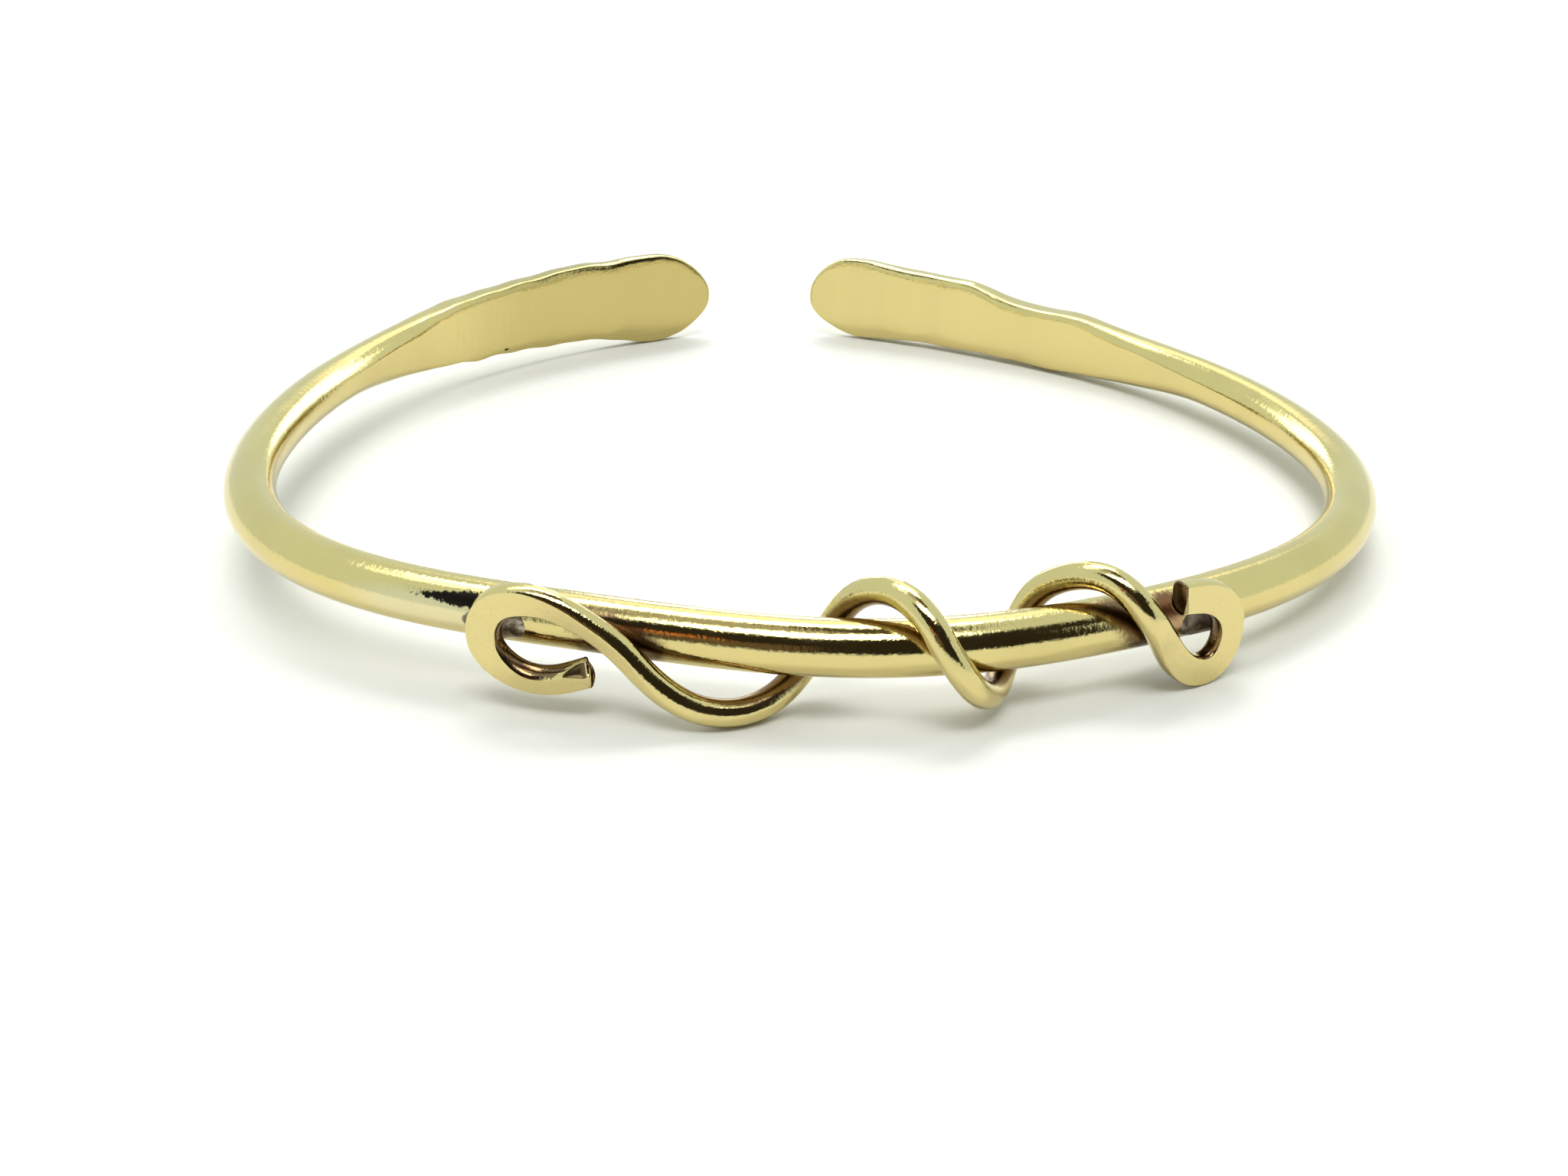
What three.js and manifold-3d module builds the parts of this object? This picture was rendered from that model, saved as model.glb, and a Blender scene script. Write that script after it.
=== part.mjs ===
// A wire-wrapped brass cuff bracelet, in millimetres, +Z up, standing on z = 0 with its
// decorated front towards -Y. One round rod is bent to an oval and its two ends are hammered
// to paddles. A thinner wire is wound round the front of the rod, and each of its hooked ends
// is filed flat and soldered to the rod.
import * as THREE from 'three';
import { mergeVertices } from 'three/addons/utils/BufferGeometryUtils.js';
import Module from 'manifold-3d';

const wasm = await Module();
wasm.setup();

// ---- Driving dimensions ----

const ROD_DIAMETER = 2.6;
const WIRE_DIAMETER = 1.28;
const CUFF_RADIUS = 27.25; // mean radius of the rod's centre line

// How the hand-bent oval departs from a circle: [waves per turn, cosine part, sine part],
// each as a share of CUFF_RADIUS.
const OVAL = [
  [2, 0.0577, -0.0125],
  [3, 0.0142, -0.035],
  [4, 0.0052, 0.0068],
  [5, 0.0076, -0.0032],
  [6, -0.0077, -0.0058],
];

// Where the two paddles end, as angles round the oval from +X towards +Y.
const LEFT_TIP_ANGLE = THREE.MathUtils.degToRad(102.6);
const RIGHT_TIP_ANGLE = THREE.MathUtils.degToRad(87.9);
const FRONT_ANGLE = THREE.MathUtils.degToRad(-90);

// Paddle outlines: [distance from the tip, height above the centre line, depth below it].
const LEFT_PADDLE = [
  [0, 0.35, 0.35],
  [0.3, 1.0, 0.95],
  [1.0, 1.85, 1.75],
  [2.2, 2.65, 2.55],
  [4.0, 2.95, 3.05],
  [7.0, 2.8, 2.5],
  [10.0, 2.75, 2.25],
  [14.0, 2.4, 2.15],
  [19.0, 2.0, 1.95],
  [24.0, 1.5, 1.6],
  [30.0, 1.3, 1.3],
];
const RIGHT_PADDLE = [
  [0, 0.4, 0.3],
  [0.3, 1.2, 0.85],
  [1.0, 2.05, 1.55],
  [2.2, 2.75, 2.15],
  [3.6, 2.9, 2.45],
  [7.0, 2.5, 2.25],
  [11.0, 2.45, 2.15],
  [15.0, 1.7, 2.15],
  [19.0, 1.7, 2.1],
  [24.0, 1.35, 1.75],
  [30.0, 1.3, 1.3],
];
const WIDEST_ROW = 4;
const PADDLE_TIP_THICKNESS = 0.6;
const TIP_THINNING_LENGTH = 6;
const THINNING_POWER = 1.1; // how strongly a spread section thins, 1 where its area is kept
const FLAT_SIDED_SPREAD = 1.5; // the spread at which a section's sides have become flat

// The wound wire follows a smooth curve that these points pull towards themselves. Each is
// [along the rod from its front point, outwards from its centre line, upwards]. Each hook's
// points lie in one plane beside the rod: a straight rule laid along the rod at HOOK_AT.
const HOOK_OUT = 2.0;
const LEFT_HOOK_AT = -10.7;
const RIGHT_HOOK_AT = 18.9;
const LEFT_HOOK = [
  [-6.9, -0.85],
  [-8.3, -1.3],
  [-9.9, -2.15],
  [-11.8, -2.1],
  [-13.6, -0.7],
  [-12.9, 1.65],
  [-10.5, 1.9],
  [-8.7, 1.2],
];
const WINDING = [
  [-6.9, 2.05, 0.15],
  [-5.6, 2.1, -1.3],
  [-3.9, 2.0, -2.55],
  [-2.0, 1.4, -2.95],
  [-0.4, 0.15, -2.65],
  [0.7, -1.45, -1.7],
  [1.8, -2.25, -0.15],
  [2.8, -1.85, 1.75],
  [4.4, -0.65, 2.65],
  [5.6, 1.1, 2.3],
  [6.4, 2.3, 0.75],
  [7.5, 2.3, -1.05],
  [8.7, 1.05, -2.25],
  [9.9, -0.7, -2.1],
  [11.0, -2.1, -0.95],
  [12.0, -2.35, 1.1],
  [13.3, -1.05, 2.3],
  [14.5, 0.65, 2.65],
  [15.4, 2.3, 1.15],
  [16.4, 1.95, -0.65],
];
const RIGHT_HOOK = [
  [17.5, -2.3],
  [19.5, -2.3],
  [20.2, -0.1],
  [18.8, 1.6],
  [16.8, 1.7],
  [15.0, 2.1],
];

// Each hook's front is filed to a plane: how far out the plane cuts at the rod's own level,
// and how much further out it cuts for each millimetre downwards.
const LEFT_FILE_CUT = { out: 2.41, slope: 0.02 };
const RIGHT_FILE_CUT = { out: 2.38, slope: 0.02 };

// Hammering spreads the wire in its hooks: [share of the wire's length, width factor].
const HOOK_SPREAD = [
  [0, 0.95],
  [0.05, 1.0],
  [0.09, 1.16],
  [0.17, 1.2],
  [0.27, 1.0],
  [0.86, 1.0],
  [0.9, 1.05],
  [0.96, 1.2],
  [1, 1.1],
];

// Solder: an ellipsoid at each hook, cut back from the rod and the wire.
const SOLDER_GAP = 0.05;
const LEFT_SOLDER = { at: -13.55, out: 1.35, up: 0.1, size: [1.15, 0.7, 0.95] };
const RIGHT_SOLDER = { at: 18.95, out: 1.2, up: -0.05, size: [1.3, 0.6, 1.05] };

// How the cuff leans when it stands on its lowest loop, its right hook and its left paddle.
const REST_PITCH = THREE.MathUtils.degToRad(-0.74);
const REST_ROLL = THREE.MathUtils.degToRad(1.62);

// Facets. ROD_CROWDING is how strongly the rod's rings crowd towards its two tips.
const ROD_STEPS = 110;
const ROD_SIDES = 16;
const ROD_CROWDING = 0.8;
const WIRE_STEPS = 104;
const WIRE_SIDES = 12;
const SOLDER_SEGMENTS = 20;

const UP = new THREE.Vector3(0, 0, 1);

const WHOLE_SWEEP = 2 * Math.PI + RIGHT_TIP_ANGLE - LEFT_TIP_ANGLE;
const SWEEP_TO_FRONT = 2 * Math.PI + FRONT_ANGLE - LEFT_TIP_ANGLE;

// ---- The rod's centre line ----

class CuffLine extends THREE.Curve {
  constructor() {
    super();
    this.arcLengthDivisions = 2000;
  }

  getPoint(t, target = new THREE.Vector3()) {
    const angle = LEFT_TIP_ANGLE + t * WHOLE_SWEEP;
    let share = 1;
    for (const [waves, cosine, sine] of OVAL) {
      share += cosine * Math.cos(waves * angle) + sine * Math.sin(waves * angle);
    }
    const radius = CUFF_RADIUS * share;
    return target.set(radius * Math.cos(angle), radius * Math.sin(angle), 0);
  }
}

const cuffLine = new CuffLine();
const rodLength = cuffLine.getLength();

// The distance from the left tip to the front point of the cuff.
function frontDistance() {
  const lengths = cuffLine.getLengths();
  return lengths[Math.round((SWEEP_TO_FRONT / WHOLE_SWEEP) * (lengths.length - 1))];
}

const frontAt = frontDistance();

// A point of the rod's centre line with its direction of travel and its outward direction.
function rodFrame(distance) {
  const share = THREE.MathUtils.clamp(distance / rodLength, 0, 1);
  const centre = cuffLine.getPointAt(share);
  const tangent = cuffLine.getTangentAt(share);
  const outward = new THREE.Vector3().crossVectors(tangent, UP);
  return { centre, tangent, outward };
}

// A place beside the rod. With a rule, the place is measured along a straight rule that
// touches the rod's centre line at ruleAt, so that such places share one plane.
function beside(along, out, up, ruleAt = along) {
  const frame = rodFrame(frontAt + ruleAt);
  return frame.centre.clone()
    .addScaledVector(frame.tangent, along - ruleAt)
    .addScaledVector(frame.outward, out)
    .addScaledVector(UP, up);
}

// ---- Helpers for swept solids ----

// Bends a closed cylinder onto a row of rings: place(ring, angle, radius) gives each vertex,
// with the angle counted from the ring's outward side and the radius 0 at an end's middle.
function sweep(steps, sides, place) {
  const geometry = new THREE.CylinderGeometry(1, 1, steps, sides, steps);
  const position = geometry.attributes.position;
  const start = new THREE.Vector3();
  for (let i = 0; i < position.count; i += 1) {
    start.fromBufferAttribute(position, i);
    const ring = Math.round(start.y + steps / 2);
    const angle = Math.atan2(start.z, start.x);
    const radius = Math.hypot(start.x, start.z);
    const end = place(ring, angle, radius);
    position.setXYZ(i, end.x, end.y, end.z);
  }
  geometry.deleteAttribute('normal');
  geometry.deleteAttribute('uv');
  return mergeVertices(geometry, 1e-5);
}

// Reads a column of an outline's rows at a distance along it.
function outlineAt(rows, distance, column) {
  if (distance <= rows[0][0]) return rows[0][column];
  for (let i = 1; i < rows.length; i += 1) {
    if (distance <= rows[i][0]) {
      const share = (distance - rows[i - 1][0]) / (rows[i][0] - rows[i - 1][0]);
      return THREE.MathUtils.lerp(rows[i - 1][column], rows[i][column], share);
    }
  }
  return rows[rows.length - 1][column];
}

// ---- The rod ----

// The rod's section at a distance from the left tip. Where the rod is spread to a tall paddle
// it gets thinner, and its sides become flat. The rounded end of a paddle is as thin as the
// paddle's widest part.
function rodSection(distance) {
  const fromRight = rodLength - distance;
  const rows = distance < fromRight ? LEFT_PADDLE : RIGHT_PADDLE;
  const fromTip = Math.min(distance, fromRight);
  const above = outlineAt(rows, fromTip, 1);
  const below = outlineAt(rows, fromTip, 2);
  const [widestFromTip, widestAbove, widestBelow] = rows[WIDEST_ROW];
  const height = fromTip < widestFromTip ? widestAbove + widestBelow : above + below;
  const spread = height / ROD_DIAMETER;
  const evenHalfThickness = ROD_DIAMETER / 2 / spread ** THINNING_POWER;
  const tipShare = THREE.MathUtils.smoothstep(fromTip, 0, TIP_THINNING_LENGTH);
  const halfThickness = THREE.MathUtils.lerp(PADDLE_TIP_THICKNESS / 2, evenHalfThickness, tipShare);
  const flatShare = THREE.MathUtils.clamp((spread - 1) / (FLAT_SIDED_SPREAD - 1), 0, 1);
  return { above, below, halfThickness, roundness: 1 - flatShare / 2 };
}

// Rings crowd together near the two tips, where the outline turns quickly.
function rodDistance(ring) {
  const share = ring / ROD_STEPS;
  const crowded = (1 - Math.cos(Math.PI * share)) / 2;
  return rodLength * THREE.MathUtils.lerp(share, crowded, ROD_CROWDING);
}

function cuffRodGeometry(radiusGrowth = 0) {
  return sweep(ROD_STEPS, ROD_SIDES, (ring, angle, radius) => {
    const distance = rodDistance(ring);
    const { centre, outward } = rodFrame(distance);
    const section = rodSection(distance);
    const half = Math.sin(angle) > 0 ? section.above : section.below;
    const out = Math.sign(Math.cos(angle)) * Math.abs(Math.cos(angle)) ** section.roundness;
    return centre.clone()
      .addScaledVector(outward, radius * out * (section.halfThickness + radiusGrowth))
      .addScaledVector(UP, radius * Math.sin(angle) * (half + radiusGrowth));
  });
}

// ---- The wound wire ----

function wirePoints() {
  return [
    ...LEFT_HOOK.map(([along, up]) => beside(along, HOOK_OUT, up, LEFT_HOOK_AT)),
    ...WINDING.map(([along, out, up]) => beside(along, out, up)),
    ...RIGHT_HOOK.map(([along, up]) => beside(along, HOOK_OUT, up, RIGHT_HOOK_AT)),
  ];
}

// A uniform cubic B-spline through the pull points.
class PulledCurve extends THREE.Curve {
  constructor(points) {
    super();
    this.points = points;
    this.arcLengthDivisions = 1200;
  }

  getPoint(t, target = new THREE.Vector3()) {
    const spans = this.points.length - 3;
    const first = Math.min(Math.floor(t * spans), spans - 1);
    const f = t * spans - first;
    const weights = [
      (1 - f) ** 3 / 6,
      (3 * f ** 3 - 6 * f ** 2 + 4) / 6,
      (-3 * f ** 3 + 3 * f ** 2 + 3 * f + 1) / 6,
      f ** 3 / 6,
    ];
    target.set(0, 0, 0);
    weights.forEach((weight, i) => target.addScaledVector(this.points[first + i], weight));
    return target;
  }
}

const wireLine = new PulledCurve(wirePoints());

// The plane that a hook's front is filed to.
function filePlane(ruleAt, cut) {
  const frame = rodFrame(frontAt + ruleAt);
  const normal = frame.outward.clone().addScaledVector(UP, cut.slope).normalize();
  return new THREE.Plane().setFromNormalAndCoplanarPoint(normal, beside(ruleAt, cut.out, 0));
}

const filePlanes = [
  filePlane(LEFT_HOOK_AT, LEFT_FILE_CUT),
  filePlane(RIGHT_HOOK_AT, RIGHT_FILE_CUT),
];

const HOOK_REACH = 4;
const SEARCH_STEP = 0.1;

// The outward side of the wire's section: square to the wire, away from the nearest point of
// the rod's centre line, which is looked for in small steps over the wound length.
function wireOutward(point, tangent) {
  let nearest = Infinity;
  const away = new THREE.Vector3();
  const end = RIGHT_HOOK_AT + HOOK_REACH;
  for (let along = LEFT_HOOK_AT - HOOK_REACH; along < end; along += SEARCH_STEP) {
    const frame = rodFrame(frontAt + along);
    const reach = point.distanceTo(frame.centre);
    if (reach < nearest) {
      nearest = reach;
      away.subVectors(point, frame.centre);
    }
  }
  return away.addScaledVector(tangent, -away.dot(tangent)).normalize();
}

// Moves a vertex back onto each file plane that it stands proud of.
function filed(vertex) {
  for (const plane of filePlanes) {
    const proud = plane.distanceToPoint(vertex);
    if (proud > 0) vertex.addScaledVector(plane.normal, -proud);
  }
  return vertex;
}

function wrapWireGeometry(radiusGrowth = 0) {
  const wireRadius = WIRE_DIAMETER / 2 + radiusGrowth;
  const rings = [];
  for (let ring = 0; ring <= WIRE_STEPS; ring += 1) {
    const centre = wireLine.getPointAt(ring / WIRE_STEPS);
    const tangent = wireLine.getTangentAt(ring / WIRE_STEPS);
    const outward = wireOutward(centre, tangent);
    rings.push({ centre, outward, side: new THREE.Vector3().crossVectors(outward, tangent) });
  }
  return sweep(WIRE_STEPS, WIRE_SIDES, (ring, angle, radius) => {
    const { centre, outward, side } = rings[ring];
    const spread = outlineAt(HOOK_SPREAD, ring / WIRE_STEPS, 1);
    const reach = radius * wireRadius;
    const vertex = centre.clone()
      .addScaledVector(outward, (reach * Math.cos(angle)) / Math.max(spread, 1))
      .addScaledVector(side, reach * spread * Math.sin(angle));
    return filed(vertex);
  });
}

// ---- Solder ----

function toManifold(geometry) {
  return new wasm.Manifold(new wasm.Mesh({
    numProp: 3,
    vertProperties: new Float32Array(geometry.attributes.position.array),
    triVerts: new Uint32Array(geometry.index.array),
  }));
}

function toGeometry(solid) {
  const mesh = solid.getMesh();
  const geometry = new THREE.BufferGeometry();
  geometry.setAttribute('position', new THREE.BufferAttribute(mesh.vertProperties, 3));
  geometry.setIndex(new THREE.BufferAttribute(mesh.triVerts, 1));
  return geometry;
}

function solderBlob({ at, out, up, size }) {
  const frame = rodFrame(frontAt + at);
  const blob = new THREE.SphereGeometry(1, SOLDER_SEGMENTS, SOLDER_SEGMENTS / 2);
  blob.deleteAttribute('normal');
  blob.deleteAttribute('uv');
  blob.scale(...size);
  const turn = new THREE.Matrix4().makeBasis(frame.tangent, frame.outward, UP.clone().negate());
  blob.applyMatrix4(turn);
  const place = beside(at, out, up);
  blob.translate(place.x, place.y, place.z);
  return mergeVertices(blob, 1e-5);
}

// The rod and the wire, grown by the gap, cut the blob of solder to its final shape.
function solderJointGeometry(solder) {
  const blob = toManifold(solderBlob(solder));
  const rod = toManifold(cuffRodGeometry(SOLDER_GAP));
  const wire = toManifold(wrapWireGeometry(SOLDER_GAP));
  const pieces = blob.subtract(rod).subtract(wire).decompose();
  pieces.sort((a, b) => b.volume() - a.volume());
  return toGeometry(pieces[0]);
}

// ---- The assembly ----

function brass(color, roughness) {
  return new THREE.MeshStandardMaterial({ color, roughness, metalness: 1 });
}

function part(name, geometry, material) {
  const mesh = new THREE.Mesh(geometry, material);
  mesh.name = name;
  return mesh;
}

const lean = new THREE.Group();
lean.rotation.set(REST_PITCH, REST_ROLL, 0);
lean.add(part('cuff_rod', cuffRodGeometry(), brass(0xd9c878, 0.18)));
lean.add(part('wrap_wire', wrapWireGeometry(), brass(0xdcc67a, 0.2)));
lean.add(part('left_solder_joint', solderJointGeometry(LEFT_SOLDER), brass(0x8d8672, 0.5)));
lean.add(part('right_solder_joint', solderJointGeometry(RIGHT_SOLDER), brass(0x7a6a55, 0.5)));

// Stands the cuff on z = 0 with its box's middle on the Z axis.
function stand(group) {
  group.updateMatrixWorld(true);
  const box = new THREE.Box3().setFromObject(group, true);
  const middle = box.getCenter(new THREE.Vector3());
  group.position.set(-middle.x, -middle.y, -box.min.z);
  return group;
}

const bracelet = new THREE.Group();
bracelet.add(stand(lean));

export default bracelet;
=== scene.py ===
"""A wire-wrapped brass cuff bracelet on a pale floor.

The rod, the wound wire and the solder are rebuilt here as smooth, hammered and filed
meshes around the CAD model. Lengths are in millimetres until a mesh is made, in the rod's
own coordinates: along the rod from its front point, outwards from its centre line, and up.
"""
import math

import bpy
import numpy as np
from mathutils import Matrix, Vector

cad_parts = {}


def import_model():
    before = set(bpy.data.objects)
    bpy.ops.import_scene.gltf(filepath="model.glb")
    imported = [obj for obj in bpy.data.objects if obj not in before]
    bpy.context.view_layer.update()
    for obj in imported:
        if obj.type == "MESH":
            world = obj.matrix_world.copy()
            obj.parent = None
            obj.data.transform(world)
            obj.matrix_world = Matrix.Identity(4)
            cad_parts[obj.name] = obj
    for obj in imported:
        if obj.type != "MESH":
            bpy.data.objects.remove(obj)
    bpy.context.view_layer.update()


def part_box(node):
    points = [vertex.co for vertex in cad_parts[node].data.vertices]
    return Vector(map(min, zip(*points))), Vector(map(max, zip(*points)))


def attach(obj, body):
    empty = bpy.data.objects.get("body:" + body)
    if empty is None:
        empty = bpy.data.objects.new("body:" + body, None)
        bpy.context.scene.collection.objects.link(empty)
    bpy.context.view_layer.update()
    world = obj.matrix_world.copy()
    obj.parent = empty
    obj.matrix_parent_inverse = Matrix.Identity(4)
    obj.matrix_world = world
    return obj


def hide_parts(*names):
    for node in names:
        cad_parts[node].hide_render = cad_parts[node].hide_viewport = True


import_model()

MM = 0.001

# ---- Dimensions ----

# The rod's curve and the points that pull the wire are as in the CAD source, and so are the
# paddle outlines after their first rows.
ROD_RADIUS = 1.3
WIRE_RADIUS = 0.64
CUFF_RADIUS = 27.25
OVAL = [
    (2, 0.0577, -0.0125),
    (3, 0.0142, -0.035),
    (4, 0.0052, 0.0068),
    (5, 0.0076, -0.0032),
    (6, -0.0077, -0.0058),
]
LEFT_TIP_ANGLE = math.radians(102.6)
FRONT_ANGLE = math.radians(270)
RIGHT_TIP_ANGLE = math.radians(87.9 + 360)
REST_PITCH = math.radians(-0.74)
REST_ROLL = math.radians(1.62)

# Paddle outlines: distance from the tip, height above the centre line, depth below it.
LEFT_PADDLE = [
    (0, 0, 0),
    (0.3, 1.0, 0.95),
    (1.0, 1.85, 1.75),
    (2.2, 2.65, 2.55),
    (4.0, 2.95, 3.05),
    (7.0, 2.8, 2.5),
    (10.0, 2.75, 2.25),
    (14.0, 2.4, 2.15),
    (19.0, 2.0, 1.95),
    (24.0, 1.5, 1.6),
    (30.0, 1.3, 1.3),
]
RIGHT_PADDLE = [
    (0, 0, 0),
    (0.3, 1.2, 0.85),
    (1.0, 2.05, 1.55),
    (2.2, 2.75, 2.15),
    (3.6, 2.9, 2.45),
    (7.0, 2.5, 2.25),
    (11.0, 2.45, 2.15),
    (15.0, 1.7, 2.15),
    (19.0, 1.7, 2.1),
    (24.0, 1.35, 1.75),
    (30.0, 1.3, 1.3),
]
TIP_THICKNESS = 0.6
TIP_THINNING_LENGTH = 6.0
TIP_ROUNDING = 0.35

# The last stretch to a tip is as thin as a paddle of this width would be.
TIP_STRETCH = 4
TIP_WIDTH = 5.6

# How a section thins and grows boxy as it spreads.
THINNING_POWER = 1.1
BOXINESS = 0.7
BOXY_SPREAD = 0.5

# The flat along the rod's inner side: its lean and its cut, and distances from the tip. The
# cut fades out over the first pair, the flat ends over the second, and the paddle's own
# hammered face takes over from it across the third.
FLAT_LEAN = 0.06
FLAT_CUT = 0.08
FLAT_CUT_FADE = (24, 36)
FLAT_END = (34, 40)
FLAT_END_ROOM = 0.4
PADDLE_END = (12, 22)
PADDLE_ROOM = 0.2

# Hammer strikes on one face of a paddle: ranges of place and depth, and of twice the radius
# of the dish that a strike leaves. The marks fade out over distances from the tip, and their
# depths are kept within limits.
HAMMER_STRIKES = 46
STRIKE_ALONG = (-1, 28)
STRIKE_UP = (-3, 3)
STRIKE_DEPTH = (0, 0.035)
DISH_ACROSS = (45, 70)
DISH_ALONG = (60, 110)
HAMMERED_END = (18, 28)
MARK_LIMITS = (-0.08, 0.05)

# Waves in the hammered edges of a paddle, and where along it they grow and fade.
EDGE_WAVES = 7
EDGE_WAVE_LENGTH = (2.2, 7)
EDGE_WAVE_HEIGHT = (0.01, 0.03)
EDGE_WAVES_GROW = (0.3, 2.5)
EDGE_WAVES_FADE = (17, 24)

# The points that pull the wire's smooth curve towards themselves.
HOOK_OUT = 2.0
LEFT_HOOK_AT = -10.7
RIGHT_HOOK_AT = 18.9
LEFT_HOOK = [
    (-6.9, -0.85),
    (-8.3, -1.3),
    (-9.9, -2.15),
    (-11.8, -2.1),
    (-13.6, -0.7),
    (-12.9, 1.65),
    (-10.5, 1.9),
    (-8.7, 1.2),
]
WINDING = [
    (-6.9, 2.05, 0.15),
    (-5.6, 2.1, -1.3),
    (-3.9, 2.0, -2.55),
    (-2.0, 1.4, -2.95),
    (-0.4, 0.15, -2.65),
    (0.7, -1.45, -1.7),
    (1.8, -2.25, -0.15),
    (2.8, -1.85, 1.75),
    (4.4, -0.65, 2.65),
    (5.6, 1.1, 2.3),
    (6.4, 2.3, 0.75),
    (7.5, 2.3, -1.05),
    (8.7, 1.05, -2.25),
    (9.9, -0.7, -2.1),
    (11.0, -2.1, -0.95),
    (12.0, -2.35, 1.1),
    (13.3, -1.05, 2.3),
    (14.5, 0.65, 2.65),
    (15.4, 2.3, 1.15),
    (16.4, 1.95, -0.65),
]
RIGHT_HOOK = [
    (17.5, -2.3),
    (19.5, -2.3),
    (20.2, -0.1),
    (18.8, 1.6),
    (16.8, 1.7),
    (15.0, 2.1),
]

# The wire's section along its length: share of the length, half width to the left of travel
# and to the right, half thickness, fullness (2 is an ellipse, 3 is boxy), distance of the
# filed face from the wire's middle, and the filed face's tilt in degrees, down being negative.
WIRE_SHAPE = [
    (0.000, 0.66, 0.60, 0.62, 2.8, 0.48, -22),
    (0.020, 0.62, 0.62, 0.62, 2.6, 0.48, -22),
    (0.045, 0.58, 0.66, 0.62, 2.6, 0.48, -22),
    (0.070, 0.57, 0.84, 0.60, 3.0, 0.44, -12),
    (0.093, 0.56, 0.95, 0.60, 3.0, 0.39, 0),
    (0.120, 0.64, 0.92, 0.60, 2.5, 0.40, -4),
    (0.147, 0.70, 0.85, 0.60, 2.2, 0.42, -9),
    (0.170, 0.72, 0.70, 0.60, 2.1, 0.44, -19),
    (0.200, 0.62, 0.62, 0.58, 2.0, 0.46, -24),
    (0.235, 0.62, 0.62, 0.62, 2.0, 0.50, -24),
    (0.270, 0.64, 0.64, 0.64, 2.0, 0.66, -18),
    (0.300, 0.64, 0.64, 0.64, 2.0, 0.90, 0),
    (0.780, 0.64, 0.64, 0.64, 2.0, 0.90, 0),
    (0.815, 0.68, 0.60, 0.62, 2.2, 0.60, 0),
    (0.841, 0.80, 0.52, 0.60, 2.4, 0.42, 0),
    (0.870, 0.88, 0.55, 0.60, 2.8, 0.40, 0),
    (0.900, 0.85, 0.60, 0.60, 2.8, 0.38, 0),
    (0.934, 0.75, 0.66, 0.60, 2.6, 0.38, 0),
    (0.950, 0.72, 0.84, 0.58, 2.6, 0.38, 0),
    (0.965, 0.72, 0.88, 0.58, 2.8, 0.38, 0),
    (1.000, 0.70, 0.77, 0.58, 2.8, 0.38, 0),
]

# The wire's length, and shares of it over which its filed side turns from facing outwards
# in the left hook to facing away from the rod, and back again for the right hook.
WIRE_LENGTH = 62.2
LEFT_TURN = (0.25, 0.32)
RIGHT_TURN = (0.79, 0.85)

# A filed face: how round its edges are, how much angle they take, how far out it lies at
# most as a share of the half thickness, and where the filed finish sets in beside its plane.
EDGE_ROUNDING = 0.03
EDGE_ANGLE = 0.09
FILED_LIMIT = 0.985
FILED_FINISH = (-0.005, 0.02)

# The cutters' hollow on the left tip: its distance from the tip's middle, the direction it
# looks (along, outwards, up), its rounded rim, its depth and how soon it is that deep, and
# how far inside its plane the bright rim and the dark brown face are. That dark brown is a
# cut tint with a painted dark reflection.
NIP_DEPTH = 0.38
NIP_LOOK = (0.12, 0.88, 0.46)
NIP_ROUNDING = 0.015
NIP_HOLLOW = 0.06
NIP_HOLLOW_REACH = 0.2
NIP_BRIGHT_RIM = (-0.13, -0.05)
DARK_FACE_INSET = 0.02

# The two cut ends: the direction each looks (along, outwards, up), how far it stands past
# the last ring, and how deep the groove across it is.
LEFT_CUT = ((1, -0.5, 0.05), 0.13, 0.0)
RIGHT_CUT = ((-1, 0, -0.16), 0.06, 0.09)
GROOVE_HALF_WIDTH = 0.5
GROOVE_STEEPNESS = 5

# How a cut end closes: rings at shares of the way to a stop short of the cut plane, then
# rings by share of the section's size and distance back from the plane.
LEAD_IN = (0.25, 0.5, 0.75)
LEAD_IN_STOP = 0.16
CUT_END = [
    (1.0, 0.15),
    (0.985, 0.09),
    (0.955, 0.045),
    (0.91, 0.015),
    (0.85, 0),
    (0.8, 0),
    (0.65, 0),
    (0.5, 0),
    (0.35, 0),
    (0.2, 0),
    (0.05, 0),
]

# Solder skins: size of the sheet beside the patch, thickness on the bare rod, extra height
# against the wire and how far it reaches, how far the border dips and the underside lies
# below the rod's surface, and how uneven the border and the top are.
SOLDER_SHEET = 1.25
SOLDER_SKIN = 0.07
FILLET_HEIGHT = 0.3
FILLET_REACH = 0.3
SOLDER_DIP = 0.03
SOLDER_UNDERSIDE = 0.09
SOLDER_BORDER = (-0.08, 0.22)
BORDER_RAGGEDNESS = 0.16
SKIN_UNEVENNESS = 0.03

# The waves that make solder uneven: how many, how closely they follow each other in radians
# per millimetre, how fast close ones weaken, and what brings their sum to about 1.
LUMP_WAVES = 30
LUMP_CLOSENESS = (1.5, 9)
LUMP_WEAKENING = 0.7
LUMP_SUM = 4

# The solder joints, each with its CAD node, its middle (along, around), its half size, a
# seed, and the colours of its bare and burnt parts.
SOLDER_JOINTS = [
    (
        ("left_solder", "left_solder_joint"),
        ((-12.8, -0.12), (1.6, 0.85), 31),
        ((0.52, 0.46, 0.35), (0.20, 0.155, 0.10)),
    ),
    (
        ("right_solder", "right_solder_joint"),
        ((19.15, -0.25), (1.5, 0.95), 32),
        ((0.27, 0.225, 0.18), (0.11, 0.085, 0.06)),
    ),
]
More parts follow.
